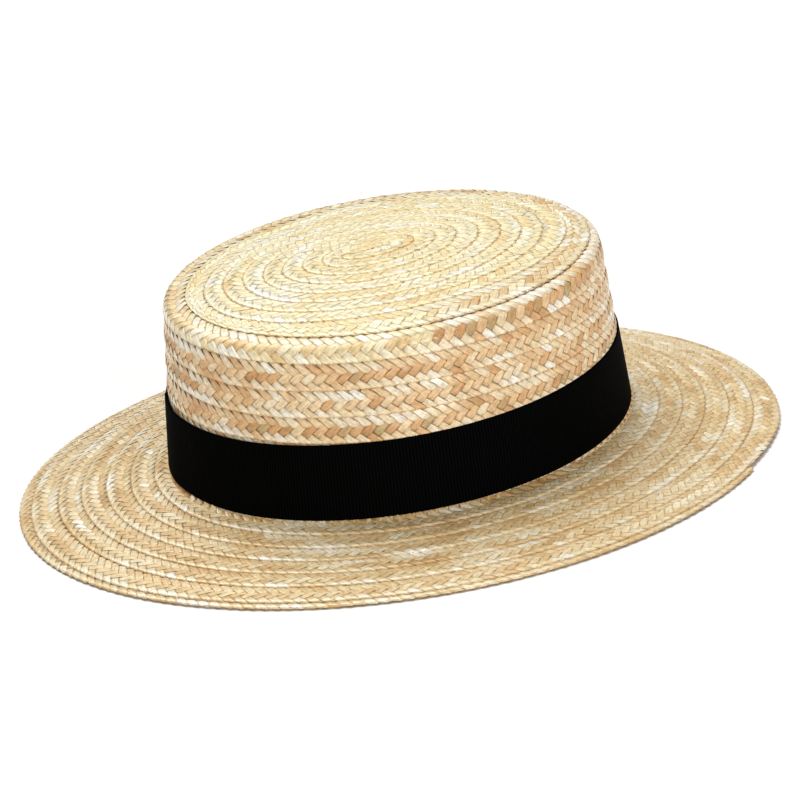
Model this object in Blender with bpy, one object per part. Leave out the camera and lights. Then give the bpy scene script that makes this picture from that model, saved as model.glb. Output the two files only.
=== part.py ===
"""Straw boater hat with a black grosgrain ribbon.

Lengths are in metres, +Z is up, and the long way of the head runs along X.
The origin is the middle of the brim's rim at the level that it stands on.

The hat is a strip of plaited straw, sewn round and round from the middle of
the tip. Each row laps over the outside of the next one, so every row ends in
a small step. The whole hat is one meridian swept round an oval: it leaves the
centre line of the tip, turns down at the corner, runs down the side and turns
out along the brim.

It is built upright on the crown and then leaned over as one, because the brim
has settled with its rim level and the crown leaning a little.
"""
import math

import bmesh
import bpy
from mathutils import Vector

CROWN_BASE_LENGTH = 0.2071
CROWN_BASE_WIDTH = 0.1688
CROWN_SHOULDER_HEIGHT = 0.0762
SIDE_TAPER = math.radians(4.8)
TIP_DOME_TURN = math.radians(6.0)
TIP_EDGE_RADIUS = 0.100
TIP_EDGE_TURN = math.radians(15.0)
CORNER_RADIUS = 0.005
BRIM_WIDTH = 0.0668
BRIM_DROP = 0.0135
CROWN_LEAN_TO_SIDE = math.radians(3.36)
CROWN_LEAN_TO_END = math.radians(0.78)

STRAW_WALL = 0.0020
ROW_STEP = 0.0008
RIM_THICKNESS = 0.0026
RIM_FLAT = 0.004
GAP = 0.0003

TIP_END = 0.0715
TIP_ROW_PITCH = 0.0097
CORNER_ROW_WIDTH = 0.0128
SIDE_ROW_PITCH = 0.01143
BRIM_FIRST_ROW = 0.0112
BRIM_ROW_PITCH = 0.0104

RIBBON_WIDTH = 0.0330
RIBBON_HEIGHT_OVER_BRIM = 0.0008
RIBBON_THICKNESS = 0.0007
RIBBON_UNDERSIDE = ROW_STEP + GAP
RIBBON_LAP_ANGLE = math.radians(12.0)
RIBBON_LAP_STEP = 0.0006

AROUND = 72
CORNER_PARTS = 4
EDGE_PARTS = 2
INSIDE_PARTS = 3
CENTRE_HALF_WIDTH = 0.0015

# Half the length of the straight stretch in the middle of the tip.
OVAL_HALF_LINE = (CROWN_BASE_LENGTH - CROWN_BASE_WIDTH) / 2
BASE_HALF_WIDTH = CROWN_BASE_WIDTH / 2

# The meridian: the tip's shallow dome, its softer edge, the corner, the tapered side.
CORNER_TURN = math.pi / 2 - SIDE_TAPER
CORNER_CENTRE_HEIGHT = CROWN_SHOULDER_HEIGHT - CORNER_RADIUS * math.cos(TIP_EDGE_TURN)
SIDE_TOP_HEIGHT = CORNER_CENTRE_HEIGHT + CORNER_RADIUS * math.cos(CORNER_TURN)
SIDE_TOP_OUT = BASE_HALF_WIDTH - SIDE_TOP_HEIGHT * math.tan(SIDE_TAPER)
CORNER_CENTRE_OUT = SIDE_TOP_OUT - CORNER_RADIUS * math.sin(CORNER_TURN)
EDGE_CENTRE_OUT = CORNER_CENTRE_OUT - (TIP_EDGE_RADIUS - CORNER_RADIUS) * math.sin(TIP_EDGE_TURN)
EDGE_CENTRE_HEIGHT = CROWN_SHOULDER_HEIGHT - TIP_EDGE_RADIUS * math.cos(TIP_EDGE_TURN)
TIP_DOME_RADIUS = TIP_EDGE_RADIUS + EDGE_CENTRE_OUT / math.sin(TIP_DOME_TURN)
DOME_CENTRE_HEIGHT = EDGE_CENTRE_HEIGHT - EDGE_CENTRE_OUT / math.tan(TIP_DOME_TURN)

# Distances along the meridian, from the middle of the tip.
CORNER_ROW_END = TIP_END + CORNER_ROW_WIDTH
DOME_END = TIP_DOME_RADIUS * TIP_DOME_TURN
EDGE_END = DOME_END + TIP_EDGE_RADIUS * (TIP_EDGE_TURN - TIP_DOME_TURN)
CORNER_END = EDGE_END + CORNER_RADIUS * (CORNER_TURN - TIP_EDGE_TURN)
CROWN_END = CORNER_END + SIDE_TOP_HEIGHT / math.cos(SIDE_TAPER)
RIM = CROWN_END + BRIM_WIDTH

STRAW_PALE = (0.79, 0.65, 0.42, 1.0)
STRAW_TAN = (0.66, 0.48, 0.28, 1.0)
RIBBON_BLACK = (0.006, 0.006, 0.008, 1.0)


def make_material(name, colour, roughness):
    """A plain non-metal finish of one colour."""
    material = bpy.data.materials.new(name)
    material.use_nodes = True
    shader = material.node_tree.nodes["Principled BSDF"]
    shader.inputs["Base Color"].default_value = colour
    shader.inputs["Roughness"].default_value = roughness
    shader.inputs["Metallic"].default_value = 0.0
    return material


def crown_meridian(distance):
    """Point and outward normal, as (out, up) pairs, on the tip or the side."""
    if distance <= DOME_END:
        middle = (0.0, DOME_CENTRE_HEIGHT)
        return arc_point(middle, TIP_DOME_RADIUS, distance / TIP_DOME_RADIUS)
    if distance <= EDGE_END:
        turn = TIP_DOME_TURN + (distance - DOME_END) / TIP_EDGE_RADIUS
        middle = (EDGE_CENTRE_OUT, EDGE_CENTRE_HEIGHT)
        return arc_point(middle, TIP_EDGE_RADIUS, turn)
    if distance <= CORNER_END:
        turn = TIP_EDGE_TURN + (distance - EDGE_END) / CORNER_RADIUS
        middle = (CORNER_CENTRE_OUT, CORNER_CENTRE_HEIGHT)
        return arc_point(middle, CORNER_RADIUS, turn)
    height = SIDE_TOP_HEIGHT - (distance - CORNER_END) * math.cos(SIDE_TAPER)
    out = BASE_HALF_WIDTH - height * math.tan(SIDE_TAPER)
    return (out, height), (math.cos(SIDE_TAPER), math.sin(SIDE_TAPER))


def arc_point(middle, radius, turn):
    """Point and outward normal on an arc, turn being zero at its top."""
    normal = (math.sin(turn), math.cos(turn))
    point = (middle[0] + radius * normal[0], middle[1] + radius * normal[1])
    return point, normal


def oval_point(out, height, angle):
    """A point at this distance out from the tip's centre line."""
    along = (OVAL_HALF_LINE + out) * math.cos(angle)
    across = out * math.sin(angle)
    return Vector((along, across, height))


def crown_point(distance, lift, angle):
    """A point lifted off the crown's outer face by lift."""
    (out, up), (out_normal, up_normal) = crown_meridian(distance)
    return oval_point(out + lift * out_normal, up + lift * up_normal, angle)


def rim_height(along, across):
    """Height of the level rim, measured upright on the leaning crown."""
    toward_end = along * math.tan(CROWN_LEAN_TO_END)
    toward_side = across * math.tan(CROWN_LEAN_TO_SIDE)
    return -BRIM_DROP - toward_end - toward_side


def brim_point(distance, lift, angle):
    """A point lifted off the brim's upper face by lift."""
    out = BASE_HALF_WIDTH + distance - CROWN_END
    rim = oval_point(BASE_HALF_WIDTH + BRIM_WIDTH, 0.0, angle)
    share = max(0.0, distance - CROWN_END) / BRIM_WIDTH
    fall = rim_height(rim.x, rim.y) * share
    return oval_point(out, fall - GAP + lift, angle)


def rim_underside_point(distance, lift, angle):
    """A point on the level face that the hat stands on."""
    out = BASE_HALF_WIDTH + distance - CROWN_END
    point = oval_point(out, 0.0, angle)
    point.z = rim_height(point.x, point.y) - RIM_THICKNESS + lift
    return point


def stepped_rows(start, end, seams, last_lift=ROW_STEP / 2):
    """(distance, lift) pairs of overlapping rows, each rising to its seam."""
    points = [(start, 0.0)]
    for seam in seams:
        if start < seam < end:
            points.append((seam, ROW_STEP))
            points.append((seam + GAP, 0.0))
    points.append((end, last_lift))
    return points


def evenly(start, end, parts):
    """Distances from start to end in equal parts, both ends included."""
    return [start + (end - start) * i / parts for i in range(parts + 1)]


def lined(start, end, parts):
    """(distance, lift) pairs along the plain inner face of the wall."""
    return [(distance, -STRAW_WALL) for distance in evenly(start, end, parts)]


def spaced(first, pitch, end):
    """Distances from first on, one pitch apart, that stay short of end."""
    count = math.ceil((end - first) / pitch)
    return [first + pitch * i for i in range(count)]


def tip_seams():
    """Where the rows of the tip end, counted back from its last row."""
    last = TIP_END - CORNER_ROW_WIDTH
    back = spaced(0.0, TIP_ROW_PITCH, last - CENTRE_HALF_WIDTH)
    return [last - distance for distance in reversed(back)]


def corner_row(end):
    """(distance, lift) pairs of the row that rolls over the corner."""
    distances = [TIP_END + GAP] + evenly(EDGE_END, CORNER_END, CORNER_PARTS) + [end]
    return [(d, ROW_STEP * (d - TIP_END) / CORNER_ROW_WIDTH) for d in distances]


def side_seams():
    """Where the rows of the side end, those under the ribbon included."""
    first = CORNER_ROW_END + SIDE_ROW_PITCH
    return spaced(first, SIDE_ROW_PITCH, CROWN_END - 2 * GAP)


def brim_seams():
    """Where the rows of the brim end. The last row shows as a narrow edge."""
    return spaced(CROWN_END + BRIM_FIRST_ROW, BRIM_ROW_PITCH, RIM)


def ring_angles():
    """Angles round the oval, counter-clockwise from +X."""
    return [2 * math.pi * i / AROUND for i in range(AROUND)]


def sweep(mesh, profile, point_at):
    """Rings of vertices, one for each (distance, lift) pair of the profile."""
    rings = []
    for distance, lift in profile:
        rings.append([mesh.verts.new(point_at(distance, lift, a)) for a in ring_angles()])
    return rings


def bridge_rings(mesh, rings):
    """Quads from each ring to the next one."""
    for upper, lower in zip(rings, rings[1:]):
        for i in range(AROUND):
            j = (i + 1) % AROUND
            mesh.faces.new((upper[i], lower[i], lower[j], upper[j]))


def fill_centre(mesh, ring):
    """Strips across a narrow oval, from one long side to the other."""
    for i in range(AROUND // 2):
        corners = [ring[i], ring[i + 1], ring[-i - 1], ring[-i]]
        mesh.faces.new(list(dict.fromkeys(corners)))


def finish_object(name, mesh, material, parent):
    """Turn a bmesh into a smooth object that rides on parent."""
    bmesh.ops.recalc_face_normals(mesh, faces=mesh.faces)
    data = bpy.data.meshes.new(name)
    mesh.to_mesh(data)
    mesh.free()
    data.shade_smooth()
    data.set_sharp_from_angle(angle=math.radians(35.0))
    data.materials.append(material)
    piece = bpy.data.objects.new(name, data)
    piece.parent = parent
    bpy.context.scene.collection.objects.link(piece)
    return piece


def build_crown_tip(material, parent):
    """The slightly domed top and the row that rolls over its corner."""
    mesh = bmesh.new()
    end = CORNER_ROW_END - GAP / 2
    profile = stepped_rows(CENTRE_HALF_WIDTH, TIP_END, tip_seams(), ROW_STEP)
    profile += corner_row(end)
    profile += [(end, -STRAW_WALL)]
    profile += lined(CORNER_END, EDGE_END, CORNER_PARTS)
    profile += lined(EDGE_END, DOME_END, EDGE_PARTS)[1:]
    profile += lined(DOME_END, CENTRE_HALF_WIDTH, INSIDE_PARTS)[1:]
    rings = sweep(mesh, profile, crown_point)
    bridge_rings(mesh, rings)
    fill_centre(mesh, rings[0])
    fill_centre(mesh, rings[-1])
    return finish_object("crown_tip", mesh, material, parent)


def build_crown_side(material, parent):
    """The tapered side, from under the corner's row down to the brim."""
    mesh = bmesh.new()
    start = CORNER_ROW_END + GAP / 2
    end = CROWN_END - GAP
    profile = stepped_rows(start, end, side_seams())
    profile += lined(end, start, INSIDE_PARTS)
    rings = sweep(mesh, profile, crown_point)
    bridge_rings(mesh, rings + rings[:1])
    return finish_object("crown_side", mesh, material, parent)


def build_brim(material, parent):
    """The brim, from under the crown's wall to the level rim."""
    mesh = bmesh.new()
    start = CROWN_END - STRAW_WALL
    top = [(start, 0.0)] + stepped_rows(CROWN_END, RIM, brim_seams())
    rings = sweep(mesh, top, brim_point)
    rings += sweep(mesh, [(RIM, 0.0), (RIM - RIM_FLAT, 0.0)], rim_underside_point)
    rings += sweep(mesh, lined(RIM - 2 * RIM_FLAT, start, INSIDE_PARTS), brim_point)
    bridge_rings(mesh, rings + rings[:1])
    return finish_object("brim", mesh, material, parent)


def ribbon_point(distance, lift, angle):
    """A point of the ribbon, thicker where its end is lapped at the back."""
    on_face = lift > RIBBON_UNDERSIDE
    at_lap = abs(angle - math.pi) < RIBBON_LAP_ANGLE / 2
    extra = RIBBON_LAP_STEP if on_face and at_lap else 0.0
    return crown_point(distance, lift + extra, angle)


def build_ribbon(material, parent):
    """The flat ribbon round the foot of the crown."""
    mesh = bmesh.new()
    bottom = CROWN_END - RIBBON_HEIGHT_OVER_BRIM / math.cos(SIDE_TAPER)
    top = bottom - RIBBON_WIDTH
    face = RIBBON_UNDERSIDE + RIBBON_THICKNESS
    profile = [(distance, face) for distance in evenly(top, bottom, INSIDE_PARTS)]
    profile += [(distance, RIBBON_UNDERSIDE) for distance in evenly(bottom, top, INSIDE_PARTS)]
    rings = sweep(mesh, profile, ribbon_point)
    bridge_rings(mesh, rings + rings[:1])
    return finish_object("ribbon_band", mesh, material, parent)


def make_hat_frame():
    """The empty that carries the hat, leaned so that its rim is level."""
    frame = bpy.data.objects.new("hat_frame", None)
    bpy.context.scene.collection.objects.link(frame)
    rim_normal = Vector((
        math.tan(CROWN_LEAN_TO_END),
        math.tan(CROWN_LEAN_TO_SIDE),
        1.0,
    ))
    turn = rim_normal.rotation_difference(Vector((0.0, 0.0, 1.0)))
    rim_middle = Vector((0.0, 0.0, -BRIM_DROP - RIM_THICKNESS))
    frame.rotation_euler = turn.to_euler()
    frame.location = -(turn @ rim_middle)
    return frame


def clear_scene():
    """Take the scene's own objects out."""
    for item in list(bpy.data.objects):
        bpy.data.objects.remove(item, do_unlink=True)


def main():
    """Build the hat."""
    clear_scene()
    pale_straw = make_material("pale_straw_braid", STRAW_PALE, 0.55)
    tan_straw = make_material("tan_straw_braid", STRAW_TAN, 0.5)
    ribbon = make_material("black_grosgrain", RIBBON_BLACK, 0.75)
    frame = make_hat_frame()
    build_crown_tip(pale_straw, frame)
    build_crown_side(tan_straw, frame)
    build_brim(pale_straw, frame)
    build_ribbon(ribbon, frame)
    bpy.context.view_layer.update()


if __name__ == "__main__":
    main()
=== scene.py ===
"""Looks of a straw boater hat with a plain black ribbon.

The hat is one long strip of flat plait, sewn round and round from the middle of
the tip, down the side and out to the rim. Seven split straws make the plait, and
each shows as a row of slightly domed pieces that dive under their neighbours.
Every such piece is modelled, on both faces of the strip, over a darker core.

The classes work in millimetres in the crown's own frame: z is zero at the foot
of the crown and angles run counter-clockwise from +X. HatForm.to_frame leans the
crown and turns the lengths into the frame's metres.
"""
import logging
import math
from dataclasses import dataclass, field
from enum import Enum

import bpy
import numpy as np
from mathutils import Matrix, Vector


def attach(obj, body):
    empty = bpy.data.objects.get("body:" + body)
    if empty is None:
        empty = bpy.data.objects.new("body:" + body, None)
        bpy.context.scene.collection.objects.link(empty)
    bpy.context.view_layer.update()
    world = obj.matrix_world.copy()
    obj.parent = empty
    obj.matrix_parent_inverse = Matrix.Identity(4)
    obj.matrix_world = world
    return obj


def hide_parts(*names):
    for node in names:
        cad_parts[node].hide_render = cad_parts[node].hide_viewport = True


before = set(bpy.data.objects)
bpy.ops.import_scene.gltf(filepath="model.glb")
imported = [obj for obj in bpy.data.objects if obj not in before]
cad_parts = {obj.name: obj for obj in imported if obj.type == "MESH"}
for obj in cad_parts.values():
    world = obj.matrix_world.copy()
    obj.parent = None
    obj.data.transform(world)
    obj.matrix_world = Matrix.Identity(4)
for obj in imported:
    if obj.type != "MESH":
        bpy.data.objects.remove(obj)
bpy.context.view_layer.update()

LOG = logging.getLogger("boater")

# Every random draw starts from here, so that each run gives the same hat.
SEED = 1907

# A millimetre in the frame's metres.
METRE = 0.001

# Straws in the plait.
STRAWS = 7

# Turns of the braid from its beginning to the middle of the near side.
NEAR_SIDE_TURN = 0.2917

# Millimetres from one rib of the ribbon to the next. Real ones are finer, and these
# are as coarse as they need to be to show.
RIB_PITCH = 1.3

# A noise texture keeps mostly within this band, which is stretched to its full effect.
NOISE_BAND = (0.3, 0.7)

# Length after which a Wave texture of scale one repeats.
WAVE_PERIOD = math.pi / 10


class Strand(Enum):
    """The runs of a straw over the plait: (place across, place along, slope)."""

    FALLING = (0.0, 0.0, 1.0)
    RISING = (2.0, -1.5, -1.0)
    FOLDING = (2.0, 2.0, 1.0)


class Face(Enum):
    """The two faces of the plait, by the words that name their pieces."""

    OUTSIDE = "outside"
    INSIDE = "inside"


def linear_colour(hex_code: str) -> tuple[float, float, float, float]:
    """Turn an sRGB colour into linear values.

    Args:
        hex_code: The colour as "#RRGGBB".

    Returns:
        Red, green, blue and an alpha of one.
    """
    values = [int(hex_code[i:i + 2], 16) / 255 for i in (1, 3, 5)]
    linear = [v / 12.92 if v <= 0.04045 else ((v + 0.055) / 1.055) ** 2.4 for v in values]
    return (*linear, 1.0)


def smooth_step(share: np.ndarray) -> np.ndarray:
    """Ease a share from zero to one: three times its square less twice its cube."""
    return share * share * (3 - 2 * share)


def add_node(
    tree: bpy.types.NodeTree,
    kind: str,
    settings: dict[str, object] | None = None,
    links: dict[str | int, object] | None = None,
) -> bpy.types.Node:
    """Add one node with its settings and links.

    Args:
        tree: The material's node tree.
        kind: Blender's name of the node's type.
        settings: Values by name, of a node property or else of an input socket.
        links: Output sockets by the name or number of the input that they feed.

    Returns:
        The new node.
    """
    node = tree.nodes.new(kind)
    for name, value in (settings or {}).items():
        if hasattr(node, name):
            setattr(node, name, value)
        else:
            node.inputs[name].default_value = value
    for name, output in (links or {}).items():
        tree.links.new(output, node.inputs[name])
    return node


def new_material(name: str) -> tuple[bpy.types.Material, bpy.types.NodeTree]:
    """Make a material with an empty node tree.

    Args:
        name: The finish in plain words.

    Returns:
        The material and its node tree.
    """
    material = bpy.data.materials.new(name)
    material.use_nodes = True
    material.node_tree.nodes.clear()
    return material, material.node_tree


def finish_tree(tree: bpy.types.NodeTree, shader: bpy.types.Node) -> None:
    """Feed the shader to the material's output.

    Args:
        tree: The material's node tree.
        shader: The shader node that the surface shows.
    """
    add_node(tree, "ShaderNodeOutputMaterial", links={"Surface": shader.outputs["BSDF"]})


@dataclass(frozen=True)
class SplitStrawFinish:
    """Split wheat straw: a waxy outer skin that catches small white lights.

    The colour of each straw, with its painted shade and highlights, is an
    attribute of the mesh. Fibres run along the straw, drawn as wide as a bundle of
    them so that they show, and give the eye faint streaks and a soft stretched
    gloss. A mottle is left by the damping, and the straw's own wax adds a thin
    clear gloss.
    """

    name: str = "split_wheat_straw"
    fibre_spacing: float = 0.55
    fibre_length: float = 5.0
    fibre_relief: float = 0.03
    fibre_contrast: float = 0.22
    mottle: float = 1.8
    mottle_contrast: float = 0.18
    skin_roughness: float = 0.3
    pith_roughness: float = 0.55
    wax: float = 0.3
    wax_roughness: float = 0.18
    ior: float = 1.5

    def shaded(
        self,
        tree: bpy.types.NodeTree,
        colour: bpy.types.NodeSocket,
        noise: bpy.types.Node,
        contrast: float,
    ) -> bpy.types.NodeSocket:
        """Darken and lighten a colour by a noise.

        Args:
            tree: The material's node tree.
            colour: The output that gives the colour.
            noise: The noise texture.
            contrast: How much darker its low end is. Its high end is lighter by
                half as much.

        Returns:
            The output that gives the shaded colour.
        """
        shade = add_node(
            tree, "ShaderNodeMapRange",
            {"From Min": NOISE_BAND[0], "From Max": NOISE_BAND[1],
             "To Min": 1 - contrast, "To Max": 1 + contrast / 2},
            {"Value": noise.outputs["Fac"]},
        )
        scaled = add_node(
            tree, "ShaderNodeVectorMath", {"operation": "SCALE"},
            {0: colour, "Scale": shade.outputs["Result"]},
        )
        return scaled.outputs["Vector"]

    def material(self) -> bpy.types.Material:
        """Build the material.

        Returns:
            The material, which reads the attributes straw_tone_and_painted_shade and pith and
            the UV map straw_mm, in millimetres across and along the straw.
        """
        material, tree = new_material(self.name)
        # The colour attribute holds each straw's tone with its painted shade and highlights.
        colour = add_node(tree, "ShaderNodeAttribute", {"attribute_name": "straw_tone_and_painted_shade"})
        pith = add_node(tree, "ShaderNodeAttribute", {"attribute_name": "pith"})
        place = add_node(tree, "ShaderNodeUVMap", {"uv_map": "straw_mm"})
        scale = (1 / self.fibre_spacing, 1 / self.fibre_length, 1.0)
        stretched = add_node(
            tree, "ShaderNodeMapping", {"Scale": scale}, {"Vector": place.outputs["UV"]}
        )
        fibres = add_node(
            tree, "ShaderNodeTexNoise",
            {"noise_dimensions": "2D", "Scale": 1.0, "Detail": 2.0, "Roughness": 0.6},
            {"Vector": stretched.outputs["Vector"]},
        )
        streaked = self.shaded(tree, colour.outputs["Color"], fibres, self.fibre_contrast)
        blotches = add_node(
            tree, "ShaderNodeTexNoise",
            {"noise_dimensions": "2D", "Scale": 1 / self.mottle, "Detail": 2.0},
            {"Vector": place.outputs["UV"]},
        )
        mottled = self.shaded(tree, streaked, blotches, self.mottle_contrast)
        roughness = add_node(
            tree, "ShaderNodeMapRange",
            {"To Min": self.skin_roughness, "To Max": self.pith_roughness},
            {"Value": pith.outputs["Fac"]},
        )
        relief = add_node(
            tree, "ShaderNodeBump",
            {"Strength": 1.0, "Distance": self.fibre_relief * METRE},
            {"Height": fibres.outputs["Fac"]},
        )
        shader = add_node(
            tree, "ShaderNodeBsdfPrincipled",
            {"IOR": self.ior, "Coat Weight": self.wax, "Coat Roughness": self.wax_roughness},
            {
                "Base Color": mottled,
                "Roughness": roughness.outputs["Result"],
                "Normal": relief.outputs["Normal"],
            },
        )
        finish_tree(tree, shader)
        return material


@dataclass(frozen=True)
class StrawCoreFinish:
    """The inside of the plait, browner than straw as painted shade: the eye sees it only as brown
    gaps.
    """

    name: str = "straw_core_painted_shade"
    colour: str = "#D2A86C"
    dark_colour: str = "#A87840"
    patch: float = 3.0
    patch_band: tuple[float, float] = (0.35, 0.65)
    roughness: float = 0.75

    def material(self) -> bpy.types.Material:
        """Build the material.

        Returns:
            The material, two browns in soft patches on Object coordinates.
        """
        material, tree = new_material(self.name)
        place = add_node(tree, "ShaderNodeTexCoord")
        patches = add_node(
            tree, "ShaderNodeTexNoise", {"Scale": 1 / (self.patch * METRE), "Detail": 2.0},
            {"Vector": place.outputs["Object"]},
        )
        colour = add_node(
            tree, "ShaderNodeValToRGB", links={"Fac": patches.outputs["Fac"]}
        )
        ramp = colour.color_ramp.elements
        ramp[0].position, ramp[1].position = self.patch_band
        ramp[0].color = linear_colour(self.dark_colour)
        ramp[1].color = linear_colour(self.colour)
        shader = add_node(
            tree, "ShaderNodeBsdfPrincipled", {"Roughness": self.roughness},
            {"Base Color": colour.outputs["Color"]},
        )
        finish_tree(tree, shader)
        return material


@dataclass(frozen=True)
class GrosgrainFinish:
    """Black rayon grosgrain: matte, with a faint sheen painted grey on its rib crests.

    The warp threads between the ribs are finer than the picture can show, so they
    are drawn as coarse as they need to be to show, and break up the sheen.
    """

    name: str = "black_rayon_grosgrain"
    colour: str = "#000000"
    crest_colour: str = "#090909"
    crest_from: float = 0.6
    thread: float = 0.28
    thread_length: float = 2.5
    thread_relief: float = 0.03
    roughness: float = 0.6
    specular: float = 0.01

    def material(self) -> bpy.types.Material:
        """Build the material.

        Returns:
            The material, which reads the UV map ribbon_mm, in millimetres along
            and across the ribbon, for its ribs and its fine warp threads.
        """
        material, tree = new_material(self.name)
        place = add_node(tree, "ShaderNodeUVMap", {"uv_map": "ribbon_mm"})
        scaled = add_node(
            tree, "ShaderNodeMapping",
            {"Scale": (1 / self.thread_length, 1 / self.thread, 1.0)},
            {"Vector": place.outputs["UV"]},
        )
        threads = add_node(
            tree, "ShaderNodeTexNoise",
            {"noise_dimensions": "2D", "Scale": 1.0, "Detail": 3.0},
            {"Vector": scaled.outputs["Vector"]},
        )
        ribs = add_node(
            tree, "ShaderNodeTexWave", {"Scale": WAVE_PERIOD / RIB_PITCH},
            {"Vector": place.outputs["UV"]},
        )
        # Painted sheen: the crests of the ribs, broken up by the threads, turn a lighter grey.
        crests = add_node(
            tree, "ShaderNodeMath", {"operation": "MULTIPLY"},
            {0: ribs.outputs["Fac"], 1: threads.outputs["Fac"]},
        )
        colour = add_node(tree, "ShaderNodeValToRGB", links={"Fac": crests.outputs["Value"]})
        ramp = colour.color_ramp.elements
        ramp[1].position = self.crest_from
        ramp[0].color = linear_colour(self.colour)
        ramp[1].color = linear_colour(self.crest_colour)
        relief = add_node(
            tree, "ShaderNodeBump", {"Distance": self.thread_relief * METRE},
            {"Height": threads.outputs["Fac"]},
        )
        shader = add_node(
            tree, "ShaderNodeBsdfPrincipled",
            {"Roughness": self.roughness, "Specular IOR Level": self.specular},
            {"Base Color": colour.outputs["Color"], "Normal": relief.outputs["Normal"]},
        )
        finish_tree(tree, shader)
        return material


@dataclass(frozen=True)
class StudioFloorFinish:
    """Pale matte paper under the hat, which gives it a soft shadow to stand on."""

    name: str = "pale_paper_floor"
    colour: str = "#F7F7F5"
    fleck_colour: str = "#F3F3F1"
    fleck: float = 40.0
    roughness: float = 0.95

    def material(self) -> bpy.types.Material:
        """Build the material.

        Returns:
            The material, near white with the faintest mottle.
        """
        material, tree = new_material(self.name)
        place = add_node(tree, "ShaderNodeTexCoord")
        flecks = add_node(
            tree, "ShaderNodeTexNoise", {"Scale": 1 / (self.fleck * METRE)},
            {"Vector": place.outputs["Object"]},
        )
        colour = add_node(tree, "ShaderNodeValToRGB", links={"Fac": flecks.outputs["Fac"]})
        ramp = colour.color_ramp.elements
        ramp[0].color = linear_colour(self.fleck_colour)
        ramp[1].color = linear_colour(self.colour)
        shader = add_node(
            tree, "ShaderNodeBsdfPrincipled",
            {"Roughness": self.roughness, "Specular IOR Level": 0.0},
            {"Base Color": colour.outputs["Color"]},
        )
        finish_tree(tree, shader)
        return material


@dataclass
class MeshParts:
    """Points, faces and attributes that are joined into one mesh.

    Each list holds whole arrays: points are (n, 3) in the frame's metres, faces
    are (m, corners), and the attributes have a row for each point.
    """

    points: list[np.ndarray] = field(default_factory=list)
    faces: list[np.ndarray] = field(default_factory=list)
    smooth: list[bool] = field(default_factory=list)
    colours: list[np.ndarray] = field(default_factory=list)
    pith: list[np.ndarray] = field(default_factory=list)
    uv: list[np.ndarray] = field(default_factory=list)
    count: int = 0

    def add_points(self, points: np.ndarray) -> int:
        """Add points.

        Args:
            points: Points of any leading shape, with x, y and z last.

        Returns:
            The number that the first of them has in the mesh.
        """
        first = self.count
        flat = points.reshape(-1, 3)
        self.points.append(flat)
        self.count += len(flat)
        return first

    def add_faces(self, faces: np.ndarray, smooth: bool) -> None:
        """Add faces of one number of corners.

        Args:
            faces: Point numbers, with the corners of a face last.
            smooth: Whether they are shaded smooth.
        """
        self.faces.append(faces.reshape(-1, faces.shape[-1]))
        self.smooth.append(smooth)

    def add_tube(self, points: np.ndarray) -> None:
        """Add a closed section carried along a path, and close its two ends.

        Each ring is joined to the next by quads, corner by corner.

        Args:
            points: Points of shape (rings, corners, 3).
        """
        rings, corners = points.shape[:2]
        index = self.add_points(points) + np.arange(rings * corners).reshape(rings, corners)
        onward = np.roll(index, -1, axis=1)
        quads = np.stack([onward[:-1], onward[1:], index[1:], index[:-1]], axis=-1)
        self.add_faces(quads, True)
        self.add_faces(index[0][None], False)
        self.add_faces(index[-1][None, ::-1], False)

    def build(
        self, name: str, material: bpy.types.Material, uv_name: str = ""
    ) -> bpy.types.Object:
        """Make the object at the origin.

        Args:
            name: The piece's plain name.
            material: Its finish.
            uv_name: The name of its UV map, if it has one.

        Returns:
            The linked object.
        """
        mesh = bpy.data.meshes.new(name)
        points = np.concatenate(self.points)
        corners = np.concatenate([f.ravel() for f in self.faces])
        totals = np.concatenate([np.full(len(f), f.shape[1]) for f in self.faces])
        flags = np.concatenate([np.full(len(f), s) for f, s in zip(self.faces, self.smooth)])
        starts = np.concatenate([[0], np.cumsum(totals)[:-1]])
        mesh.vertices.add(len(points))
        mesh.vertices.foreach_set("co", points.ravel())
        mesh.loops.add(len(corners))
        mesh.loops.foreach_set("vertex_index", corners)
        mesh.polygons.add(len(totals))
        mesh.polygons.foreach_set("loop_start", starts)
        mesh.update(calc_edges=True)
        mesh.polygons.foreach_set("use_smooth", flags)
        if self.colours:
            layer = mesh.attributes.new("straw_tone_and_painted_shade", "FLOAT_COLOR", "POINT")
            layer.data.foreach_set("color", np.concatenate(self.colours).ravel())
        if self.pith:
            layer = mesh.attributes.new("pith", "FLOAT", "POINT")
            layer.data.foreach_set("value", np.concatenate(self.pith).ravel())
        if self.uv:
            layer = mesh.uv_layers.new(name=uv_name)
            layer.data.foreach_set("uv", np.concatenate(self.uv)[corners].ravel())
        mesh.materials.append(material)
        piece = bpy.data.objects.new(name, mesh)
        bpy.context.scene.collection.objects.link(piece)
        return piece


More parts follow.
